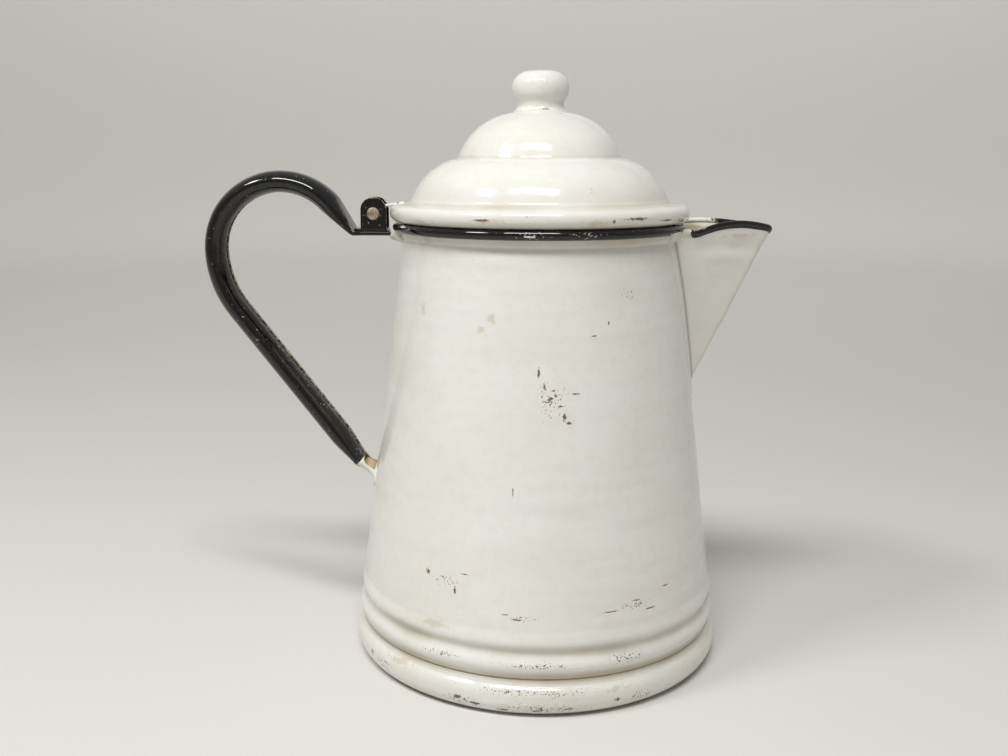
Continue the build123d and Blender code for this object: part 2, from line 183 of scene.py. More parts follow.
def add(tree, kind, inputs, result=0, **settings):
    """Adds a shader node of the kind with its settings, gives each input, named or numbered, a
    value or a link, and returns one output. A colour Mix has its share at input 0 and its two
    colours at 6 and 7, and gives the result at output 2."""
    made = tree.nodes.new("ShaderNode" + kind)
    for key, value in settings.items():
        setattr(made, key, value)
    for key, value in inputs.items():
        if isinstance(value, bpy.types.NodeSocket):
            tree.links.new(value, made.inputs[key])
        else:
            made.inputs[key].default_value = value
    return made.outputs[result]


def near(tree, place, marks):
    """How near a point is to the closest of the marks, each (centre, radii) in millimetres:
    1 at a mark's centre, 0 on its ellipsoid, and less outside."""
    best = None
    for centre, radii in marks:
        middle = [c * MM for c in centre]
        shares = [1 / (r * MM) for r in radii]
        away = add(tree, "VectorMath", {0: place, 1: middle}, operation="SUBTRACT")
        away = add(tree, "VectorMath", {0: away, 1: shares}, operation="MULTIPLY")
        away = add(tree, "VectorMath", {0: away}, "Value", operation="LENGTH")
        here = add(tree, "Math", {0: 1.0, 1: away}, operation="SUBTRACT")
        if best is not None:
            here = add(tree, "Math", {0: best, 1: here}, operation="MAXIMUM")
        best = here
    return best


def ragged(tree, field, grain, low, high, rough):
    """A mask with a broken edge: the field plus rough times grain, taken from 0 at low to 1 at high."""
    uneven = add(tree, "Math", {0: grain, 1: rough, 2: field}, operation="MULTIPLY_ADD")
    return add(tree, "MapRange", {"Value": uneven, "From Min": low, "From Max": high},
               interpolation_type="SMOOTHSTEP")


def coated(name):
    """A new material, its node tree, its shader, and the place in the piece's own coordinates."""
    material = bpy.data.materials.new(name)
    material.use_nodes = True
    tree = material.node_tree
    return material, tree, tree.nodes["Principled BSDF"], add(tree, "TexCoord", {}, "Object")


def finished(tree, shader, colour, broken, dull, height, strength, depth):
    """Gives the shader its colour, a roughness that goes from the first of dull where the
    surface is whole to the second where it is broken, and bumps of the depth in millimetres."""
    rough = add(tree, "MapRange", {"Value": broken, "To Min": dull[0], "To Max": dull[1]})
    bump = add(tree, "Bump", {"Height": height, "Strength": strength, "Distance": depth * MM})
    tree.links.new(colour, shader.inputs["Base Color"])
    tree.links.new(rough, shader.inputs["Roughness"])
    tree.links.new(bump, shader.inputs["Normal"])


def white_enamel(name, cream=0.35, specks=0.1, chips=(), flecks=(), stains=(), dirt_and_shade=(), folds=None):
    """White vitreous enamel, fired on steel: a glass coat about 0.3 mm thick. It is smooth and
    hard, so its highlights are sharp, over a surface that still waves a little from the press.
    It has a few pinholes, and where it is knocked off, grey-brown ground coat and rust show.
    With a folds colour, dirt has settled where rub is below 0, and black trim is brushed on
    where rub is near 1."""
    material, tree, glass, place = coated(name)
    cloud = add(tree, "TexNoise", {"Vector": place, "Scale": 1 / (38 * MM), "Detail": 3.0})
    broad = add(tree, "TexNoise", {"Vector": place, "Scale": 1 / (95 * MM), "Detail": 1.0})
    grain = add(tree, "TexNoise", {"Vector": place, "Scale": 1 / (0.8 * MM), "Detail": 3.0})
    # The coat is creamier where it was fired longer, and greyer in faint bands round the pot
    warm = add(tree, "MapRange", {"Value": cloud, "From Min": 0.3, "From Max": 0.7, "To Max": 2 * cream})
    colour = add(tree, "Mix", {0: warm, 6: linear("#E5E5DF"), 7: linear("#DFDBCD")}, 2, data_type="RGBA")
    squeezed = [1 / (size * MM) for size in BAND_SIZE]
    bands = add(tree, "VectorMath", {0: place, 1: squeezed}, operation="MULTIPLY")
    rolled = add(tree, "TexNoise", {"Vector": bands, "Scale": 1.0, "Detail": 2.0})
    grey = add(tree, "Math", {0: broad, 1: rolled}, operation="MULTIPLY")
    grey = add(tree, "MapRange", {"Value": grey, "From Min": 0.2, "From Max": 0.42, "To Max": 0.4})
    colour = add(tree, "Mix", {0: grey, 6: colour, 7: linear("#D2D0C8")}, 2, data_type="RGBA")
    mottle = add(tree, "TexNoise", {"Vector": place, "Scale": 1 / (4 * MM), "Detail": 4.0})
    mottle = add(tree, "MapRange", {"Value": mottle, "From Min": 0.45, "From Max": 0.68, "To Max": 0.17})
    colour = add(tree, "Mix", {0: mottle, 6: colour, 7: linear("#CFCCC1")}, 2, data_type="RGBA")
    # Pinholes: one in each chosen cell, dark to the smaller radius and gone at the larger
    cells = add(tree, "TexVoronoi", {"Vector": place, "Scale": 1 / (PINHOLE_PITCH * MM)}, "Distance")
    gone, full = (radius / PINHOLE_PITCH for radius in PINHOLE_RADII)
    dark = add(tree, "MapRange", {"Value": cells, "From Min": gone, "From Max": full, "To Max": 0.6})
    pick = add(tree, "SeparateColor", {0: cells.node.outputs["Color"]})
    keep = add(tree, "Math", {0: pick, 1: specks}, operation="LESS_THAN")
    dark = add(tree, "Math", {0: dark, 1: keep}, operation="MULTIPLY")
    # Rings darkened to a dull tan in grooves, creases and under overhangs: partly settled dirt, partly
    # painted shade where less light falls
    if dirt_and_shade:
        dirt_and_shade_share = ragged(tree, near(tree, place, dirt_and_shade), cloud, 0.3, 1.3, 0.9)
        dirt_and_shade_share = add(tree, "Math", {0: dirt_and_shade_share, 1: 0.75}, operation="MULTIPLY")
        colour = add(tree, "Mix", {0: dirt_and_shade_share, 6: colour, 7: linear("#9E9172")}, 2, data_type="RGBA")
    if stains:
        smear = add(tree, "TexNoise", {"Vector": place, "Scale": 1 / (2.6 * MM), "Detail": 5.0})
        tinge = ragged(tree, near(tree, place, stains), smear, 1.3, 2.0, 2.4)
        tinge = add(tree, "Math", {0: tinge, 1: 0.42}, operation="MULTIPLY")
        colour = add(tree, "Mix", {0: tinge, 6: colour, 7: linear("#BBAB86")}, 2, data_type="RGBA")
    if flecks:
        spread = add(tree, "MapRange", {"Value": near(tree, place, flecks), "From Max": 0.8, "To Max": 0.19})
        fleck = ragged(tree, spread, grain, 0.745, 0.80, 1.0)
        dark = add(tree, "Math", {0: dark, 1: fleck}, operation="MAXIMUM")
    if chips:
        # A chip is bare in its middle, and rust has crept under the glass round it
        hole = near(tree, place, chips)
        rust = ragged(tree, hole, grain, 0.95, 1.35, 1.6)
        rust = add(tree, "Math", {0: rust, 1: 0.75}, operation="MULTIPLY")
        colour = add(tree, "Mix", {0: rust, 6: colour, 7: linear("#A4926F")}, 2, data_type="RGBA")
        bare = ragged(tree, hole, grain, 1.62, 1.78, 2.3)
        dark = add(tree, "Math", {0: dark, 1: bare}, operation="MAXIMUM")
    colour = add(tree, "Mix", {0: dark, 6: colour, 7: linear("#685946")}, 2, data_type="RGBA")
    if folds:
        rub = add(tree, "Attribute", {}, "Fac", attribute_name="rub")
        settled = add(tree, "MapRange", {"Value": rub, "From Max": -1.0, "To Max": 0.8})
        colour = add(tree, "Mix", {0: settled, 6: colour, 7: linear(folds)}, 2, data_type="RGBA")
        brushed = ragged(tree, rub, cloud, 0.96, 1.0, 0.8)
        colour = add(tree, "Mix", {0: brushed, 6: colour, 7: linear("#0C0C0E")}, 2, data_type="RGBA")
    glass.inputs["IOR"].default_value = GLASS_IOR
    wave = add(tree, "TexNoise", {"Vector": place, "Scale": 1 / (14 * MM), "Detail": 1.5})
    wave = add(tree, "Math", {0: rolled, 1: 0.6, 2: wave}, operation="MULTIPLY_ADD")
    height = add(tree, "Math", {0: dark, 1: -0.5, 2: wave}, operation="MULTIPLY_ADD")
    finished(tree, glass, colour, dark, (0.1, 0.6), height, 0.6, 0.25)
    return material


def black_enamel(name, worn=(), through=(), scuffs=(), edges=None):
    """Black vitreous enamel: the same glass, coloured with iron and cobalt. It mirrors the
    light in thin bright lines. Hands and knocks have scuffed it grey, and at edges worn it
    through to the white coat below. The edges are the two values of rub between which it goes."""
    material, tree, glass, place = coated(name)
    cloud = add(tree, "TexNoise", {"Vector": place, "Scale": 1 / (20 * MM), "Detail": 3.0})
    grain = add(tree, "TexNoise", {"Vector": place, "Scale": 1 / (1.2 * MM), "Detail": 4.0})
    colour = add(tree, "Mix", {0: cloud, 6: linear("#060607"), 7: linear("#120F0E")}, 2, data_type="RGBA")
    pale = ragged(tree, cloud, grain, 1.30, 1.36, 1.0)
    if scuffs:
        spread = add(tree, "MapRange", {"Value": near(tree, place, scuffs), "From Max": 0.9, "To Max": 0.13})
        scuff = ragged(tree, spread, grain, 0.67, 0.74, 1.0)
        pale = add(tree, "Math", {0: pale, 1: scuff}, operation="MAXIMUM")
    colour = add(tree, "Mix", {0: pale, 6: colour, 7: linear("#8E887C")}, 2, data_type="RGBA")
    if edges:
        rub = add(tree, "Attribute", {}, "Fac", attribute_name="rub")
        rub = ragged(tree, rub, grain, edges[0] + 0.5, edges[1] + 0.5, 1.0)
        colour = add(tree, "Mix", {0: rub, 6: colour, 7: linear("#A39B8B")}, 2, data_type="RGBA")
        pale = add(tree, "Math", {0: pale, 1: rub}, operation="MAXIMUM")
    if worn:
        bare = ragged(tree, near(tree, place, worn), grain, 1.0, 1.12, 1.6)
        colour = add(tree, "Mix", {0: bare, 6: colour, 7: linear("#7F7768")}, 2, data_type="RGBA")
        pale = add(tree, "Math", {0: pale, 1: bare}, operation="MAXIMUM")
    if through:
        white = ragged(tree, near(tree, place, through), grain, 0.85, 0.95, 1.3)
        colour = add(tree, "Mix", {0: white, 6: colour, 7: linear("#DDD9CC")}, 2, data_type="RGBA")
    glass.inputs["IOR"].default_value = GLASS_IOR
    wave = add(tree, "TexNoise", {"Vector": place, "Scale": 1 / (9 * MM), "Detail": 1.5})
    height = add(tree, "Math", {0: pale, 1: -0.3, 2: wave}, operation="MULTIPLY_ADD")
    finished(tree, glass, colour, pale, (0.07, 0.42), height, 0.4, 0.2)
    return material


def wall_radius(z):
    """Outside radius of the tapered wall: its middle line at that height, and half a sheet."""
    taper = (WALL_FOOT[0] - NECK[0]) / (NECK[1] - WALL_FOOT[1])
    return NECK[0] + SHEET / 2 + (NECK[1] - z) * taper


# The swaged beads swell and narrow as half waves of a cosine between their crests and the groove
crests = np.array([SEAM, *BEADS, WALL_FOOT])
lift = np.linspace(0, 1, 30)[:, None]
swages = [low + np.hstack([(1 - np.cos(np.pi * lift)) / 2, lift]) * (high - low)
          for low, high in zip(crests[:-1], crests[1:])]
body_line = eased([*swages, NECK, FLARE_TOP], 0.9, longest=2.5, tightest=5.0)
rim_bead = arc(RIM_CORE, RIM_BEAD, 0, 345, 24)
body_white = white_enamel(
    "white_enamel_body", cream=0.25, specks=0.12,
    chips=[((0.6, -70.2, 146.5), (0.8, 9, 3.0)), ((3.0, -70.6, 141.5), (1.0, 9, 2.2)),
           ((-9.6, -75.8, 97.2), (0.5, 9, 3.0)), ((5.5, -71, 136), (1.6, 9, 1.6)),
           ((9.8, -71, 133), (1.8, 9, 0.6)), ((11.7, -71.4, 128.4), (1.2, 9, 2.4)),
           ((13.5, -71, 126), (1.6, 9, 0.9)), ((7, -71, 139.5), (1.4, 9, 0.7)),
           ((16, -70, 138), (2.4, 9, 0.6)), ((23.4, -64, 161.6), (2.4, 9, 0.5)),
           ((29.6, -61, 166.6), (0.5, 9, 1.3)), ((-7.4, -83, 43.2), (4.2, 9, 0.5)),
           ((-12.5, -83, 45.0), (2.0, 9, 0.4)), ((32.0, -77, 45.0), (6.0, 9, 0.4)),
           ((44, -71.5, 48.0), (3.0, 9, 0.5)), ((-46.6, -67, 57.7), (1.4, 9, 1.8)),
           ((-34.2, -75, 52.5), (1.0, 9, 2.2)), ((57, -59.5, 50.6), (2.2, 9, 0.6)),
           ((-30, -76, 60), (2.6, 9, 0.5)), ((50, -66, 43), (4.0, 9, 0.5))],
    flecks=[((6.5, -71, 136), (11, 14, 13)), ((-5, -83, 43.5), (14, 14, 2.4)),
            ((42, -72, 46), (20, 16, 3)), ((2, -86, 23.5), (30, 14, 3)),
            ((40, -76, 24), (22, 14, 4)), ((-40, -76, 24), (18, 14, 3)),
            ((38, -54, 178), (6, 9, 4)), ((-40, -75, 56), (11, 14, 5))],
    stains=[((-19, -64.6, 168.1), (3.0, 9, 3.6)), ((-23.6, -63.7, 163.7), (3.0, 9, 2.6)),
            ((-50, -47, 170), (2.0, 12, 4.0)), ((-45, -72, 36), (9, 14, 2.5))],
    # Dirt with painted shade in the seam groove and the groove between the beads, and painted shade in the
    # band under the rim bead
    dirt_and_shade=[((0, 0, 17.6), (300, 300, 3.4)), ((0, 0, 28.8), (125, 125, 4.0)),
           ((0, 0, 200.2), (100, 100, 3.4))])
rim_black = black_enamel(
    "black_enamel_rim",
    scuffs=[((-2, -68, 203.0), (10, 8, 3)), ((20, -65, 203), (12, 8, 3)), ((-57, -37, 203), (6, 8, 3))],
    through=[((60, -30, 201.6), (8, 9, 0.9)), ((-60, -31, 204.3), (2.5, 5, 0.7)),
             ((66, -12, 202.0), (4, 9, 1.6)), ((-66.5, 3, 203.0), (3, 9, 1.2)),
             ((-4, -68, 202.6), (3.5, 5, 0.5))])
body_skin = turned(sheet(body_line), waver=BODY_WAVER)
rim_skin = turned(rim_bead, waver=BODY_WAVER)
pot_body = formed("body_shell", "body", "pot", [body_skin, rim_skin],
                  [body_white, rim_black])
# The strainer holes: one round punch to each, driven through the wall towards the spout
punch = bpy.data.meshes.new("punch")
holes = bmesh.new()
for row, count in enumerate(STRAINER_ROWS):
    for k in range(count):
        aside = (k - (count - 1) / 2) * STRAINER_PITCH
        level = STRAINER_TOP - row * STRAINER_PITCH
        turn = Matrix(((0, 0, 1, STRAINER_REACH * MM), (0, 1, 0, aside * MM),
                       (-1, 0, 0, level * MM), (0, 0, 0, 1)))
        bmesh.ops.create_cone(holes, cap_ends=True, segments=24, radius1=STRAINER_RADIUS * MM,
                              radius2=STRAINER_RADIUS * MM, depth=PUNCH_LENGTH * MM, matrix=turn)
holes.to_mesh(punch)
holes.free()
punch_tool = placed("punch_tool", punch)
cut = pot_body.modifiers.new("strainer", "BOOLEAN")
cut.object = punch_tool
cut.solver = "EXACT"
bpy.context.view_layer.update()
cut_body = pot_body.evaluated_get(bpy.context.evaluated_depsgraph_get())
pierced = bpy.data.meshes.new_from_object(cut_body)
pot_body.modifiers.remove(cut)
pot_body.data = pierced
bpy.data.objects.remove(punch_tool)

# Base: a disc of the same steel, pressed up at its edge into a fat rounded heel, with a
# collar that laps inside the body. The two are seamed, and the enamel fills the joint.
HEEL = ((80.5, 7.5), 6.9)
HEEL_TOP = (87.4, 9.5)
SHOULDER = ((82.6, 9.5), 4.8)
SHOULDER_TOP = (84.2, 16.3)
COLLAR = ((83.25, 17.4), (83.25, 24.2))
BASE_WAVER = 0.08
base_line = eased([(0, SHEET / 2), arc(*HEEL, -90, 0), HEEL_TOP, arc(*SHOULDER, 10, 60, 9),
                   SHOULDER_TOP, *COLLAR], 0.7)
base_white = white_enamel(
    "white_enamel_base", cream=0.45, specks=0.3,
    flecks=[((-30, -82, 5.5), (17, 16, 5.0)), ((4, -87, 4.5), (34, 16, 5.0)),
            ((46, -74, 6), (22, 16, 4.5)),
            ((-68, -54, 8), (14, 18, 6)), ((0, 70, 4), (60, 30, 4)), ((0, -87, 12), (60, 12, 3))],
    chips=[((-33, -81, 6.5), (2.4, 9, 1.3)), ((-25, -84, 5.0), (4.0, 9, 1.0)),
           ((2, -87, 3.8), (4.2, 9, 0.9)), ((15, -86, 4.6), (3.6, 9, 0.8)),
           ((-13, -86, 3.4), (4.0, 9, 0.8)), ((-75, -44, 9), (1.2, 5, 2.0)),
           ((36, -79, 6.6), (2.4, 9, 1.2))],
    stains=[((36, -79, 11.5), (7, 12, 1.8)), ((-60, -62, 13), (9, 12, 2.5))],
    # Dirt with painted shade in the seam groove, and painted shade round the foot where the heel meets the
    # floor
    dirt_and_shade=[((0, 0, 17.2), (300, 300, 2.6)), ((0, 0, 0.5), (110, 110, 3.0))])
base_skin = turned(sheet(base_line, from_axis=True), from_axis=True, waver=BASE_WAVER)
formed("base_shell", "base_pan", "pot", [base_skin], [base_white])

# Spout: one sheet folded to a V over a mandrel, its edges flanged and welded to the wall
# over the strainer holes, and its lip turned over a thin wire. The lip was pulled up a
# little along its middle, and the sheet puckered beside it when the fold was closed.
SPOUT_TIP = 107.0
SPOUT_NOSE = 4.2
SPOUT_LIP = 202.2
SPOUT_FOOT = 129.0
SPOUT_TOE = 5.0
SPOUT_ANGLE = np.radians(25.0)
SPOUT_LAP = 4.0
LAP_RISE = (0.1, 0.9)
LAP_BLEND = 1.2
LIP_WIRE = 1.3
LIP_SINK = 1.2
LIP_ARCH = 4.2
FAR_ARCH_END = 1.16
NEAR_ARCH_END = 0.75
NEAR_LIFT = (0.72, 5.5)
CROWD = 1.2
# Puckers: how far out, at what height and how tall, at what bearing, at what radius and how wide
PUCKERS = ((-1.50, 194.0, 3.2, -0.085, 95, 4.5), (0.90, 190.5, 2.6, -0.13, 90, 4.0),
           (-0.80, 195.0, 2.8, -0.20, 80, 5.0), (-0.80, 195.0, 2.6, 0.16, 85, 5.0))
fold_slope = (SPOUT_TIP - wall_radius(SPOUT_FOOT)) / (SPOUT_LIP - SPOUT_FOOT)


def bent(value, power):
    """The value raised to a power with its sign kept: sign(v) |v| ** power."""
    return np.sign(value) * np.abs(value) ** power


def fold(bearing, z, nose):
    """Distance from the pot's axis to the folded sheet: to its straight side,
    (tip sin A + nose) / sin(A + bearing), or to its round nose, where the bearing is small."""
    tip = SPOUT_TIP - SPOUT_NOSE - fold_slope * (SPOUT_LIP - z)
    bearing = np.abs(bearing)
    side = (tip * np.sin(SPOUT_ANGLE) + nose) / np.sin(SPOUT_ANGLE + bearing)
    front = tip * np.cos(bearing) + np.sqrt(np.maximum(nose ** 2 - (tip * np.sin(bearing)) ** 2, 0))
    edge = np.arctan2(nose * np.cos(SPOUT_ANGLE), tip + nose * np.sin(SPOUT_ANGLE))
    return np.where(bearing < edge, front, side)


def lip_height(share):
    """Height of the lip from its tip, share 0, to the wall, share 1 or -1. Both sides rise in
    the arch of a sine, and the near one, below 0, dips and lifts again beside the wall."""
    far = LIP_ARCH * np.sin(np.pi * share / FAR_ARCH_END)
    near_arch = LIP_ARCH * np.sin(np.pi * np.clip(-share / NEAR_ARCH_END, 0, 1))
    near_wall = NEAR_LIFT[1] * np.clip(-share - NEAR_LIFT[0], 0, 1)
    return SPOUT_LIP - LIP_SINK + np.where(share > 0, far, near_arch + near_wall)


# The columns crowd at the fold. The lip ends where the weld laps begin, a seventh of the way in
across = bent(np.linspace(-1, 1, 97)[None, :], CROWD)
lip_line = lip_height(bent(np.clip(across * 7 / 6, -1, 1), 1 / CROWD))
cap = -np.cos(np.linspace(0, np.pi / 2, 9))[:-1, None] * SPOUT_TOE
rise = np.linspace(0, 1, 64)[:, None] ** 0.9
height = np.vstack([SPOUT_FOOT + cap + 0 * across, SPOUT_FOOT + rise * (lip_line - SPOUT_FOOT)])
wall = wall_radius(np.minimum(height, NECK[1])) + np.maximum(height - NECK[1], 0) * 0.5
tip = np.maximum(SPOUT_TIP - SPOUT_NOSE - fold_slope * (SPOUT_LIP - height), wall - SPOUT_NOSE)
meets = np.arcsin((tip * np.sin(SPOUT_ANGLE) + SPOUT_NOSE) / wall) - SPOUT_ANGLE
shrink = np.sqrt(np.clip(1 - (np.minimum(height - SPOUT_FOOT, 0) / SPOUT_TOE) ** 2, 0, 1))
bearing = across * (meets + SPOUT_LAP / wall) * shrink
edge_run = (1 - np.abs(across)) * (meets + SPOUT_LAP / wall) * wall
lap_rise = np.clip(edge_run / SPOUT_LAP, 0, 1)
lap = wall + LAP_RISE[0] + LAP_RISE[1] * lap_rise * (2 - lap_rise)
skin = fold(bearing, height, SPOUT_NOSE)
for out, pucker_height, tall, pucker_bearing, radius, wide in PUCKERS:
    skin = skin + out * np.exp(-((height - pucker_height) / tall) ** 2
                               - ((bearing - pucker_bearing) * radius / wide) ** 2)
skin = skin + 0.20 * np.sin(height / 4.1 + bearing * 9) * np.sin(bearing * 21 + height / 11)
blend = np.maximum(LAP_BLEND - np.abs(skin - lap), 0) / LAP_BLEND
outer = np.maximum(skin, lap) + blend ** 2 * LAP_BLEND / 4
inner = np.maximum(fold(bearing, height, SPOUT_NOSE - SHEET), wall - 0.8)
inner = np.minimum(inner, outer - 0.1)
ring = np.hstack([outer, inner[:, ::-1]])
turn = np.hstack([bearing, bearing[:, ::-1]])
level = np.hstack([height, height[:, ::-1]])
middle = (outer[-1:] + inner[-1:]) / 2
ring = np.vstack([ring, np.hstack([middle, middle[:, ::-1]])])
turn = np.vstack([turn, turn[-1:]])
level = np.vstack([level, level[-1:]])
spout_skin = lattice(np.stack([ring * np.cos(turn), ring * np.sin(turn), level], axis=-1), False, True)
below_lip = level[-1:] - level


def carried(path, side, section, round_path=False):
    """A section carried along a path: each (u, v) of it lies at path + u side + v (side x
    tangent). The section may change along the path, and an open path ends in closed caps."""
    if round_path:
        along = np.roll(path, -1, axis=0) - np.roll(path, 1, axis=0)
    else:
        along = np.gradient(path, axis=0)
    along = along / np.linalg.norm(along, axis=1)[:, None]
    side = np.broadcast_to(side, path.shape)
    side = side - (side * along).sum(axis=1)[:, None] * along
    side = side / np.linalg.norm(side, axis=1)[:, None]
    up = np.cross(side, along)
    section = np.broadcast_to(section, (len(path), *section.shape[-2:]))
    points = path[:, None] + section[..., :1] * side[:, None] + section[..., 1:] * up[:, None]
    if not round_path:
        centre = points.mean(axis=1, keepdims=True)
        shut = [np.broadcast_to(centre[k], points.shape[1:])[None] for k in (0, -1)]
        points = np.vstack([shut[0], points, shut[1]])
    return lattice(points, round_path, True)


lip_share = np.linspace(-1, 1, 121)
lip_level = lip_height(lip_share)
lip_tip = SPOUT_TIP - SPOUT_NOSE - fold_slope * (SPOUT_LIP - lip_level)
lip_ends = np.arcsin((lip_tip * np.sin(SPOUT_ANGLE) + SPOUT_NOSE) / RIM_CORE[0]) - SPOUT_ANGLE
lip_bearing = bent(lip_share, CROWD) * lip_ends
lip_reach = fold(lip_bearing, lip_level, SPOUT_NOSE - SHEET / 2)
lip_path = np.stack([lip_reach * np.cos(lip_bearing), lip_reach * np.sin(lip_bearing), lip_level],
                    axis=-1)
lip_bead = carried(lip_path, (0, 0, 1), arc((0, 0), LIP_WIRE, 0, 345, 20))
spout_white = white_enamel(
    "white_enamel_spout", cream=0.25, specks=0.05, folds="#857A66",
    stains=[((90, -10, 199.5), (16, 9, 1.6)), ((73, 19, 203), (17, 10, 5))],
    # Painted shade with some dirt under the far side of the lip and in the corner where the fold meets the
    # wall
    dirt_and_shade=[((73, 19, 201.6), (15, 8, 1.6)), ((64, 24, 200), (3, 4, 4))])
lip_black = black_enamel("black_enamel_lip", worn=[((72, -18, 203.6), (4, 4, 0.8))],
                         through=[((74, 17, 204), (19, 9, 6)), ((65.5, -23, 202.0), (3.6, 5, 3)),
                                  ((106.5, 1.5, 201.5), (1.3, 2, 1.0))])
# Black trim is brushed on the outside for 5 mm under the lip, but not where the lap begins,
# and dirt has settled in the line where the fold meets the lap
columns = outer.shape[1]
near_tip = np.clip((0.74 - np.abs(np.hstack([across, across[:, ::-1]]))) / 0.1, 0.05, 1)
lip_rub = np.clip(1 - below_lip / 5, 0, 1) * near_tip
lip_rub[:, columns:] *= 0.5
lip_rub[:-1, :columns] -= blend * (lip_rub[:-1, :columns] == 0)
lip_rub = np.concatenate([lip_rub.ravel(), np.zeros(len(lip_bead[0]))])
formed("spout_fold", "spout", "pot", [spout_skin, lip_bead], [spout_white, lip_black],
       rub=lip_rub)

# Handle: a strip of steel rolled to an oval tube with an open seam on the hand side, and
# bent to a loop. Its top end is hammered flat and runs under the hinge to the wall. It
# was dipped in black enamel, now speckled along the seam and rubbed pale on the pinch.
HANDLE_WIDTH = 19.0
HANDLE_DEPTH = 10.3
HANDLE_FOOT = (-86.4, 89.0)
FOOT_TAPER = (15.0, 2.3)
LOOP_CENTRE = (-121.7, 191.7)
LOOP_RADIUS = 31.8
LOOP_END = 42
BACK_RADIUS = 47.2
BACK_END = 217.9
PINCH = (-86.9, 199.7)
TONGUE = (-66.5, 199.7)
TONGUE_GAUGE = 2.2
TONGUE_WIDTH = 14.0
SEAM_GAP = 2.6
SEAM_DEPTH = 1.6
PINCH_HALF = 9.0
PINCH_TAPER = 4.0


def upright(x, z):
    """Points (x, 0, z): a line in the plane through the spout, the hinge and the handle."""
    return np.stack([x, 0 * x, z], axis=-1)


back_centre = (LOOP_CENTRE[0] + BACK_RADIUS - LOOP_RADIUS, LOOP_CENTRE[1])
handle_line = eased([HANDLE_FOOT, arc(back_centre, BACK_RADIUS, BACK_END, 180),
                     arc(LOOP_CENTRE, LOOP_RADIUS, 179, LOOP_END), PINCH, TONGUE],
                    1.4, longest=1.6, tightest=4.0)
run = np.concatenate([[0], np.cumsum(np.linalg.norm(np.diff(handle_line, axis=0), axis=1))])
to_pinch = run[np.argmin(np.hypot(*(handle_line - np.array(PINCH)).T))]
loop_end = arc(LOOP_CENTRE, LOOP_RADIUS, LOOP_END, LOOP_END, 1)
pinch_start = run[np.argmin(np.hypot(*(handle_line - loop_end).T))]
flat = np.clip((run - pinch_start) / (to_pinch - pinch_start), 0, 1)[:, None]
taper_in = np.clip((run - to_pinch) / PINCH_TAPER, 0, 1)[:, None]
half_wide = HANDLE_WIDTH / 2 * (1 - flat) + PINCH_HALF * flat + (TONGUE_WIDTH / 2 - PINCH_HALF) * taper_in
to_foot = np.clip(1 - run / FOOT_TAPER[0], 0, 1)[:, None]
half_deep = (HANDLE_DEPTH / 2 - FOOT_TAPER[1] * to_foot ** 1.2) * (1 - flat) + TONGUE_GAUGE / 2 * flat
square = 2 / (2 + 3 * flat)
a = np.radians(np.linspace(0, 360, 72, endpoint=False))[None, :]
u = half_wide * bent(np.cos(a), square)
v = half_deep * bent(np.sin(a), square)
groove = SEAM_DEPTH * np.exp(-(u / (SEAM_GAP / 2)) ** 4) * (1 - flat) * (np.sin(a) > 0)
handle_section = np.stack([u, v - groove], axis=-1)
handle_tube = carried(upright(*handle_line.T), (0, 1, 0), handle_section)
# The lips of the seam and the underside of the pinch are rubbed
seam_rub = 0.9 * np.exp(-((np.abs(u) - SEAM_GAP / 2 - 0.5) / 0.9) ** 2) * (np.sin(a) > 0) * (1 - flat)
pinch_rub = np.clip(-1.6 * np.sin(a), 0, 1) * np.clip(flat * 1.3 - 0.25, 0, 1) * (1 - taper_in)
handle_rub = np.maximum(seam_rub, pinch_rub)
handle_rub = np.vstack([handle_rub[:1], handle_rub, handle_rub[-1:]])
handle_black = black_enamel(
    "black_enamel_handle", edges=(0.68, 0.86),
    scuffs=[((-121, 0, 143), (7, 12, 9)), ((-112, 0, 131), (8, 12, 8)), ((-101, 0, 117), (8, 12, 9)),
            ((-88, 0, 94), (6, 12, 6)), ((-87, -5, 91), (3, 6, 3)), ((-98, 0, 212), (9, 10, 3))])
formed("handle_tube", "handle", "pot", [handle_tube], [handle_black], rub=handle_rub)

# Upper bracket: a small steel angle under the rim that wraps the root of the tongue. The
# weld that joins it to the wall was left rough, and the white enamel has rounded it over.
BRACKET_LEFT = -70.4
BRACKET_RUN = 8.6
BRACKET_ROUND = 2.2
BRACKET_TOP = 199.85
BRACKET_DROP = 1.7
BRACKET_HALF = 8.2
BRACKET_NARROWS = 0.9
BRACKET_DEEP = (2.2, 1.6)
bracket_run = np.concatenate([[-0.001], np.linspace(0.1, BRACKET_ROUND, 9),
                              np.linspace(2.8, BRACKET_RUN, 12)])
round_in = np.sqrt(np.clip(1 - (1 - np.minimum(bracket_run, BRACKET_ROUND) / BRACKET_ROUND) ** 2, 0, 1))
round_in = round_in[:, None]
spread_out = np.clip(bracket_run / BRACKET_RUN, 0, 1)[:, None]
a = np.radians(np.linspace(0, 360, 64, endpoint=False))[None, :]
lumpy = 1 + 0.035 * np.sin(3 * a + bracket_run[:, None]) + 0.03 * np.sin(5 * a - 0.8 * bracket_run[:, None])
u = (BRACKET_HALF * round_in - BRACKET_NARROWS * (1 - spread_out)) * bent(np.cos(a), 0.62) * lumpy
v = (BRACKET_DEEP[0] + BRACKET_DEEP[1] * spread_out) * round_in * bent(np.sin(a), 0.62) * lumpy
bracket_path = upright(BRACKET_LEFT + bracket_run, BRACKET_TOP - BRACKET_DROP * spread_out[:, 0])
bracket_white = white_enamel(
    "white_enamel_bracket", cream=0.5, specks=0.2,
    stains=[((-68, -6, 198), (5, 4, 4)), ((-68, 6, 198), (5, 4, 4))],
    chips=[((-69.5, -7.6, 201.0), (1.2, 2, 0.7)), ((-66.5, -8.4, 197), (0.7, 2, 0.9))])
bracket_skin = carried(bracket_path, (0, 1, 0), np.stack([u, v], axis=-1))
formed("bracket_upper", "upper_bracket", "pot", [bracket_skin], [bracket_white])

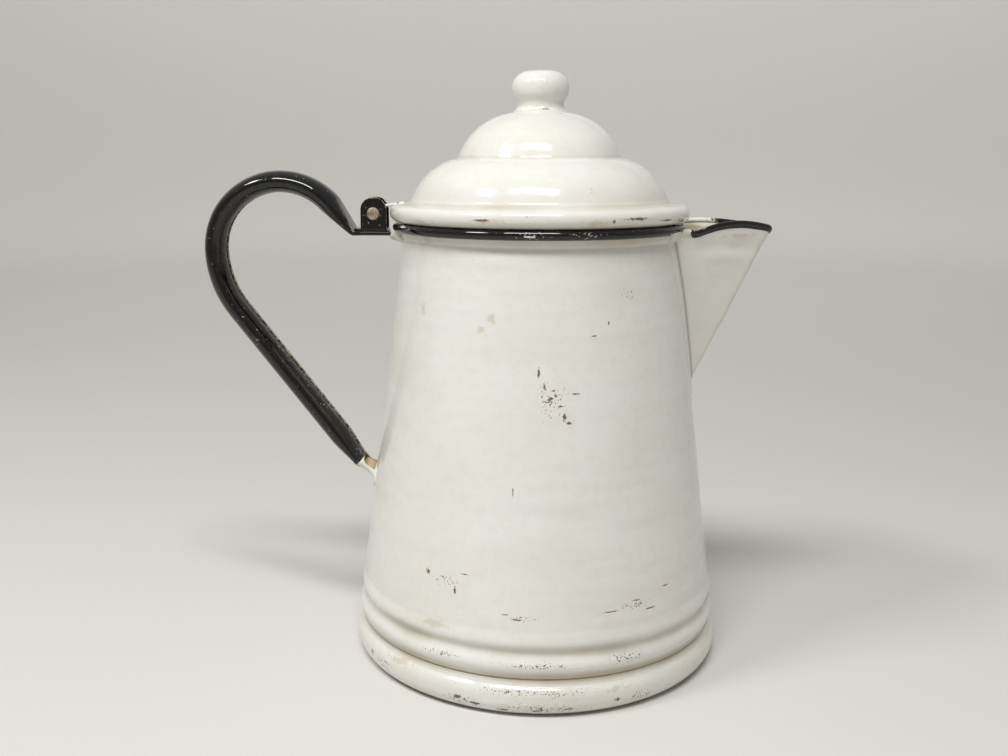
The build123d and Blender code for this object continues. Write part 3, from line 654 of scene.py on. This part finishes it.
# Lower bracket: a trough pressed from sheet, which takes the lower end of the handle and is
# welded to the wall. Its open top shows the cream-coloured inside, and the weld runs round it.
TROUGH_START = (HANDLE_FOOT[0] - 0.4, HANDLE_FOOT[1] + 0.5)
TROUGH_WIDE = (9.9, 10.5)
TROUGH_DEEP = (3.05, 5.75)
TROUGH_SLEEVE = 0.5
TROUGH_LEAN = (0.789, 0.614)
TROUGH_WAIST = 0.24
TROUGH_FLARE = (0.22, 0.2)
TROUGH_RISE = 2.2
TROUGH_ROWS = 33
TROUGH_COLUMNS = 57
BLACK_ROWS = 5
SCOOP_CENTRE = (-78.3, 91.8)
SCOOP_RADIUS = 5.8
WELD_HEIGHT = 82.6
WELD_REACH = 2.75
WELD_ROWS = 60


def trough(share, angle, inward, lift=0.0):
    """Trough at a share of its run and an angle from its bottom: a straight blend from the
    tilted oval on the handle's end to an upright oval whose points lie on the tapered wall.
    Its bottom rises between the two, as a sine. Its sides draw in to a waist, as another
    sine, and flare where they meet the wall. A share below 0 is the millimetres, turned
    negative, that a sleeve goes up round the handle's end."""
    sleeve = np.clip(-share, 0, None)
    share = np.clip(share, 0, None)
    start_wide, end_wide = (wide - inward for wide in TROUGH_WIDE)
    start_deep, end_deep = (deep - inward for deep in TROUGH_DEEP)
    flare = TROUGH_FLARE[0] * np.exp(-((1 - share) / TROUGH_FLARE[1]) ** 2)
    wide_at = np.sin(angle) * (1 - TROUGH_WAIST * np.sin(np.pi * share) + flare)
    drop_at = -np.cos(angle)
    start = np.stack([TROUGH_START[0] + drop_at * start_deep * TROUGH_LEAN[0], wide_at * start_wide,
                      TROUGH_START[1] + drop_at * start_deep * TROUGH_LEAN[1]], axis=-1)
    level = WELD_HEIGHT + drop_at * end_deep
    y = wide_at * end_wide
    end = np.stack([0.5 - np.sqrt(wall_radius(level) ** 2 - y ** 2) - lift, y, level], axis=-1)
    points = start * (1 - share[..., None]) + end * share[..., None]
    points[..., 2] += TROUGH_RISE * np.sin(np.pi * share ** 2) * (1 - drop_at) / 2
    points[..., 0] -= sleeve * TROUGH_LEAN[1]
    points[..., 2] += sleeve * TROUGH_LEAN[0]
    return points


share = np.concatenate([[-TROUGH_SLEEVE, -TROUGH_SLEEVE / 2], np.linspace(0, 1, TROUGH_ROWS)])[:, None]
# The scoop is a circle seen from the side: its rim is where each bottom-to-top line enters it
top = trough(share, np.full_like(share, np.pi), 0.0)[:, 0, [0, 2]]
bottom = trough(share, np.zeros_like(share), 0.0)[:, 0, [0, 2]]
climb = top - bottom
off = bottom - np.array(SCOOP_CENTRE)
square = (climb ** 2).sum(axis=1)
half_way = (climb * off).sum(axis=1)
inside_by = half_way ** 2 - square * ((off ** 2).sum(axis=1) - SCOOP_RADIUS ** 2)
enters = (-half_way - np.sqrt(np.clip(inside_by, 0, None))) / square
rim_at = 2 * np.clip(np.where(inside_by > 0, enters, 1), 0, 1) - 1
rim_angle = np.arccos(np.clip(-rim_at, -0.999, 0.9999))[:, None]
rim_mean = (rim_angle[:-2] + rim_angle[1:-1] + rim_angle[2:]) / 3
rim_angle = np.vstack([rim_angle[:1], rim_mean, rim_angle[-1:]])
round_trough = np.linspace(-1, 1, TROUGH_COLUMNS)[None, :] * rim_angle
run_all = np.repeat(share, TROUGH_COLUMNS, axis=1)
outside = trough(run_all, round_trough, 0.0)
inside = trough(run_all, round_trough, SHEET)
edge_angle = rim_angle + np.radians(4.0)
edge_left = trough(share, -edge_angle, SHEET / 2)
edge_right = trough(share, edge_angle, SHEET / 2)
half_sheet = (outside + inside)[:1] / 2
shut = np.hstack([half_sheet, edge_right[:1], half_sheet[:, ::-1], edge_left[:1]])
trough_skin = np.vstack([shut, np.hstack([outside, edge_right, inside[:, ::-1], edge_left])])
weld_angle = np.linspace(-1, 1, WELD_ROWS) * WELD_REACH
weld_path = trough(np.ones(WELD_ROWS), weld_angle, 0.0, 0.2)
weld_step = np.arange(WELD_ROWS)
weld_size = 1 + 0.09 * np.sin(weld_step * 0.5) + 0.05 * np.sin(weld_step * 1.3)
weld_size = weld_size * (0.5 + 0.85 * np.sin(weld_angle) ** 2)
weld = carried(weld_path, (1, 0, 0), arc((0, 0), 1.0, 0, 340, 18)[None] * weld_size[:, None, None])
# The inside is cream with old dirt, and the black of the handle runs over the sleeve
trough_rub = np.zeros(trough_skin.shape[:2])
trough_rub[1:, TROUGH_COLUMNS + 1:2 * TROUGH_COLUMNS + 1] = -1.0
trough_rub[:BLACK_ROWS] = 1.0
trough_white = white_enamel(
    "white_enamel_trough", cream=0.3, specks=0.12, folds="#CBB684",
    chips=[((-87.0, -7.5, 87.5), (1.6, 3, 1.4)), ((-82.3, -9, 83.6), (1.4, 3, 1.1)),
           ((-79.5, -10, 80), (0.7, 3, 1.2))],
    stains=[((-78, -11, 78), (2, 4, 3)), ((-78, 9, 80), (2, 5, 3))])
formed("bracket_lower", "lower_bracket", "pot",
       [lattice(trough_skin, False, True), weld], [trough_white],
       rub=np.concatenate([trough_rub.ravel(), np.zeros(len(weld[0]))]))

# Hinge clevis: a strap bent to a U and riveted through, its two ears standing on the tongue.
# It was dipped in black with the handle, and its edges are rubbed to the ground coat.
PIVOT = (-77.2, 208.8)
EAR_HALF = 6.1
EAR_CENTRE = 210.4
EAR_FOOT = 200.6
EAR_GAUGE = 1.5
EAR_GAP = 7.2
EAR_BEVEL = 0.42
EAR_HOLE = 2.04
PLATE_ENDS = (-86.5, -70.7)
PLATE_GAUGE = 1.4
PLATE_HALF = 5.1
PLATE_ROUND = 0.6
outline = eased([arc((PIVOT[0], EAR_CENTRE), EAR_HALF, 0, 180, 25), (PIVOT[0] - EAR_HALF, EAR_FOOT),
                 (PIVOT[0] + EAR_HALF, EAR_FOOT), (PIVOT[0] + EAR_HALF, EAR_CENTRE)], 0.5,
                longest=0.6, tightest=6.0)[:-1]
spoke = outline - np.array(PIVOT)
reach = np.linalg.norm(spoke, axis=1)[:, None]
spoke = spoke / reach
a = np.radians(np.linspace(-90, 90, 9))[None, :]
inset_face = np.linspace(0, 1, 6)[None, :]
rim_run = reach - EAR_BEVEL + EAR_BEVEL * np.cos(a)
face_run = EAR_HOLE + (reach - EAR_BEVEL - EAR_HOLE) * inset_face
ear_run = np.hstack([face_run, rim_run, face_run[:, ::-1]])
edge_rise = (EAR_GAUGE / 2 - EAR_BEVEL) * np.sign(a) + EAR_BEVEL * np.sin(a)
face_rise = np.full_like(inset_face, EAR_GAUGE / 2)
ear_rise = np.repeat(np.hstack([-face_rise, edge_rise, face_rise]), len(outline), axis=0)
ear_rub = np.clip(1 - (reach - ear_run) / 1.3, 0, 1)
ears = []
for face in (-1, 1):
    ear = np.array(PIVOT) + spoke[:, None] * ear_run[..., None]
    aside = face * (EAR_GAP + EAR_GAUGE) / 2 + ear_rise
    ears.append(lattice(np.stack([ear[..., 0], aside, ear[..., 1]], axis=-1), True, True))
plate_turn = PLATE_ROUND * (1 - np.cos(np.linspace(0, np.pi / 2, 6)))
plate_x = np.concatenate([PLATE_ENDS[0] + plate_turn, np.linspace(-84, -73, 12),
                          PLATE_ENDS[1] - plate_turn[::-1]])
from_end = np.minimum(plate_x - PLATE_ENDS[0], PLATE_ENDS[1] - plate_x)
plate_end = np.sqrt(np.clip(1 - np.clip(1 - from_end / PLATE_ROUND, 0, 1) ** 2, 0, 1))[:, None]
a = np.radians(np.linspace(0, 360, 48, endpoint=False))[None, :]
u = (PLATE_HALF - PLATE_ROUND * (1 - plate_end)) * bent(np.cos(a), 0.25)
v = PLATE_GAUGE / 2 * plate_end * bent(np.sin(a), 0.35)
plate_path = upright(plate_x, 0 * plate_x + EAR_FOOT + PLATE_GAUGE / 2)
plate = carried(plate_path, (0, 1, 0), np.stack([u, v], axis=-1))
plate_rub = np.clip(np.abs(plate[0][:, 1]) / PLATE_HALF * 1.2 - 0.75, 0, 1) * 0.4
clevis_black = black_enamel("black_enamel_clevis", edges=(0.9, 1.04),
                            worn=[((-77.2, -6, 216.3), (4.6, 3, 0.7))])
formed("clevis_ears", "hinge_clevis", "pot", [*ears, plate], [clevis_black],
       rub=np.concatenate([ear_rub.ravel(), ear_rub.ravel(), plate_rub]))

# Hinge rivet: a soft steel pin, its two heads hammered down to low domes. It turned bare
# and brown where the enamel would not hold, and the hammer left small flats on it.
RIVET_RADIUS = 2.0
HEAD_RADIUS = 3.0
HEAD_FOOT = EAR_GAP / 2 + EAR_GAUGE
HEAD_TOP = HEAD_FOOT + 1.5
HEAD_EDGE = 0.35
SHANK_END = 4.9
a = np.radians(np.linspace(0, 90, 14))
dome_r = HEAD_RADIUS * np.sin(a) ** 0.8
dome_y = HEAD_FOOT + HEAD_EDGE + (HEAD_TOP - HEAD_FOOT - HEAD_EDGE) * np.cos(a) ** 0.75
head = np.vstack([np.stack([dome_r, dome_y], axis=-1),
                  [(HEAD_RADIUS - 0.05, HEAD_FOOT + 0.1), (HEAD_RADIUS - 0.2, HEAD_FOOT),
                   (RIVET_RADIUS + 0.02, HEAD_FOOT), (RIVET_RADIUS, SHANK_END)]])
rivet_section = np.vstack([head, [(RIVET_RADIUS, 0.0)], (head * (1, -1))[::-1]])
spun, rivet_quads = turned(rivet_section, from_axis=True, steps=48)
struck = np.abs(0.10 * np.sin(2.1 * spun[:, 0] + 0.7) * np.sin(1.7 * spun[:, 1] + 1.9))
on_dome = np.abs(spun[:, 2]) > HEAD_FOOT + 0.4
spun[:, 2] = spun[:, 2] - struck * on_dome * np.sign(spun[:, 2])
rivet_points = np.stack([PIVOT[0] + spun[:, 0], spun[:, 2], PIVOT[1] + spun[:, 1]], axis=-1)
# Bare steel rubbed by use: dull bright spots on the dome, brown oxide in the hollows
steel, tree, metal, place = coated("worn_rivet_steel")
oxide = add(tree, "TexNoise", {"Vector": place, "Scale": 1 / (2.6 * MM), "Detail": 4.0})
rusty = add(tree, "MapRange", {"Value": oxide, "From Min": 0.38, "From Max": 0.66})
tone = add(tree, "Mix", {0: rusty, 6: linear("#B5A896"), 7: linear("#7A6654")}, 2, data_type="RGBA")
metal.inputs["Metallic"].default_value = 0.7
finished(tree, metal, tone, rusty, (0.34, 0.7), oxide, 0.6, 0.12)
formed("rivet", "hinge_rivet", "pot", [(rivet_points, rivet_quads)], [steel])

# Lid: one disc pressed in two dies to two domes, one on the other, over a flat ledge. Its
# brim is rolled under to a thick round edge, and a skirt inside it plugs the mouth. White
# enamel covers both faces, and shows the grey ground coat where the brim has been scraped.
VENT_EDGE = (1.8, 254.1)
CROWN_EDGE = (9.4, 254.1)
# Each arc is its centre, its radius, and the degrees where it starts and ends
UPPER_DOME = ((9.4, 224.69), 29.41, 89, 20.7)
DOME_STEP = (37.61, 233.68)
LOWER_DOME = ((32.25, 206.1), 28.1, 79.0, 18.9)
LEDGE = ((60.4, 213.5), (65.4, 212.8))
BRIM = ((65.4, 209.4), 3.4, 80, -90)
SKIRT = ((60.9, 206.0), (60.9, 199.6))
LID_WAVER = 0.09
lid_line = eased([VENT_EDGE, CROWN_EDGE, arc(*UPPER_DOME), DOME_STEP, arc(*LOWER_DOME), *LEDGE,
                  arc(*BRIM), *SKIRT], 1.1, longest=2.5, tightest=6.0)
lid_white = white_enamel(
    "white_enamel_lid", cream=0.35, specks=0.07,
    chips=[((-23.6, -65.3, 209.0), (5.0, 6, 0.9)), ((30.6, -62.1, 208.6), (1.4, 6, 1.0)),
           ((41, -56.5, 209.4), (12, 8, 0.8)), ((62.6, -29, 207.3), (3.0, 7, 1.3)),
           ((54, -43, 208.2), (6, 6, 0.7))],
    flecks=[((40, -56, 209.2), (18, 14, 1.8)), ((62, -30, 208), (9, 12, 2.4)),
            ((-2, -69, 210.6), (7, 8, 1.6)), ((0, 60, 210), (60, 20, 4)), ((22, -57, 221), (5, 8, 4))],
    stains=[((24, -65, 208.0), (9, 8, 1.6)), ((60, -33, 207.2), (9, 14, 1.8)),
            ((-20, -66, 208.5), (9, 6, 1.8)), ((-50, -46, 207), (9, 8, 1.6))],
    # Painted shade with some dirt on the ledge where the dome meets it, under the rolled brim, and at the
    # step between the domes
    dirt_and_shade=[((0, 0, 213.9), (84, 84, 2.0)), ((0, 0, 205.8), (86, 86, 2.0)),
           ((0, 0, 234.2), (50, 50, 1.8))])
lid_skin = turned(sheet(lid_line), waver=LID_WAVER)
formed("lid_shell", "lid", "lid", [lid_skin], [lid_white])

# Knob: a hollow button drawn from the same sheet and spot welded to the crown of the lid.
# The enamel runs over the joint, fingers have dulled the front of its neck, and a faint ring of painted
# shade, with some dirt, darkens its foot.
KNOB_TOP = 272.3
KNOB_BULGE = ((5.4, 265.1), 7.2, 90, -37)
KNOB_NECK = ((10.3, 259.2), (10.1, 257.2), (10.7, 255.7))
KNOB_FOOT = (12.6, 254.0)
KNOB_WAVER = 0.05
knob_line = eased([(0, KNOB_TOP), arc(*KNOB_BULGE), *KNOB_NECK, KNOB_FOOT],
                  1.1, longest=1.2, tightest=6.0)
knob_white = white_enamel(
    "white_enamel_knob", cream=0.3, specks=0.03,
    # The ring at the foot is painted shade with some dirt, in the crease where the knob meets the lid
    stains=[((0, -10, 256.6), (9, 6, 0.9))], dirt_and_shade=[((0, 0, 254.8), (16, 16, 1.2))],
    chips=[((2.2, -11, 255.6), (3.4, 4, 0.5))])
knob_skin = turned(sheet(knob_line, from_axis=True), from_axis=True, waver=KNOB_WAVER, steps=120)
formed("knob_button", "lid_knob", "lid", [knob_skin], [knob_white])

# Strap on the lid: a short strip welded to the ledge, whose end is curled round the rivet
# so that the lid swings on it. It was enamelled white with the lid.
STRAP_WIDE = 6.4
STRAP_GAUGE = 1.4
STRAP_ROOT = ((-62.9, 213.75), (-66.2, 213.3))
CURL = (PIVOT, 2.79, 98, 372, 60)
strap_line = eased([*STRAP_ROOT, arc(*CURL)], 0.5, longest=0.7, tightest=7.0)
a = np.radians(np.linspace(0, 360, 32, endpoint=False))
strap_section = np.stack([STRAP_WIDE / 2 * bent(np.cos(a), 0.3), STRAP_GAUGE / 2 * bent(np.sin(a), 0.6)],
                         axis=-1)
strap_white = white_enamel(
    "white_enamel_strap", cream=0.4, specks=0.15,
    chips=[((-74, -3, 212.5), (1.4, 2, 0.7)), ((-77.5, 0, 212.2), (2.2, 5, 0.5)),
           ((-66, -3, 213.8), (0.9, 2, 0.6))],
    stains=[((-77, 0, 209), (4, 4, 4))])
strap_skin = carried(upright(*strap_line.T), (0, 1, 0), strap_section)
formed("strap_curl", "lid_strap", "lid", [strap_skin], [strap_white])

# Floor: a broad sheet of pale matt paper that curves up to a low backdrop all round the pot
STUDIO_RADIUS = 2200.0
BACKDROP_HEIGHT = 1400.0
COVE_EASE = 500.0
cove = eased([(0, 0), (STUDIO_RADIUS, 0), (STUDIO_RADIUS, BACKDROP_HEIGHT)], COVE_EASE,
             longest=200, tightest=3.0)
cove_points, cove_quads = turned(cove, from_axis=True, steps=96)
floor = bpy.data.meshes.new("floor")
floor.from_pydata((cove_points * MM).tolist(), [], cove_quads.tolist())
floor.shade_smooth()
paper = bpy.data.materials.new("pale_paper")
paper.use_nodes = True
matt = paper.node_tree.nodes["Principled BSDF"]
matt.inputs["Base Color"].default_value = linear("#D9D7D3")
matt.inputs["Roughness"].default_value = 0.9
floor.materials.append(paper)
placed("floor", floor)

# Light: a wide soft strip above the camera and a smaller window high on the left, which the
# glossy domes mirror, an even pale surround, and a lamp turned away from the pot to the paper
SURROUND_GIVES = 0.25
SURROUND_SEEN = 0.45
world = bpy.data.worlds.new("studio")
world.use_nodes = True
bpy.context.scene.world = world
tree = world.node_tree
surround = tree.nodes["Background"]
surround.inputs["Color"].default_value = linear("#F4F4F4")
# What the camera or a mirrored ray sees of it is paler than the light it gives
ray = add(tree, "LightPath", {}, "Is Camera Ray")
seen = add(tree, "Math", {0: ray, 1: ray.node.outputs["Is Glossy Ray"]}, operation="MAXIMUM")
seen = add(tree, "MapRange", {"Value": seen, "To Min": SURROUND_GIVES, "To Max": SURROUND_SEEN})
tree.links.new(seen, surround.inputs["Strength"])


def window(name, place, target, size, power):
    """A soft rectangular light at a place, facing a target, all in metres, with its power in
    watts."""
    lamp = bpy.data.lights.new(name, "AREA")
    lamp.shape = "RECTANGLE"
    lamp.size = size[0]
    lamp.size_y = size[1]
    lamp.energy = power
    holder = placed(name, lamp)
    holder.location = place
    holder.rotation_euler = (Vector(target) - Vector(place)).to_track_quat("-Z", "Y").to_euler()


window("strip_above", (-0.10, -0.74, 1.38), (0, 0, 0.12), (0.8, 0.2), 15.5)
window("window_left", (-0.80, -0.45, 1.2), (0, 0, 0.15), (0.3, 0.22), 6)
window("paper_lamp", (0, 0.9, 1.9), (0, 3.9, 0.9), (2.6, 0.5), 20)

# Camera: half a metre in front, a little above the lid, looking down at the foot
CAMERA_AT = (0, -0.49927, 0.23241)
PITCH = 0.2017
YAW = -0.0569
camera_data = bpy.data.cameras.new("camera")
camera_data.sensor_width = 36
camera_data.lens = 37.73
camera_data.shift_x = 0.0256
camera_data.clip_start = 0.01
camera = placed("camera", camera_data)
camera.location = CAMERA_AT
camera.rotation_euler = (np.pi / 2 - PITCH, 0.0, -YAW)
bpy.context.scene.camera = camera
bpy.context.scene.view_settings.view_transform = "Standard"

bpy.context.view_layer.update()
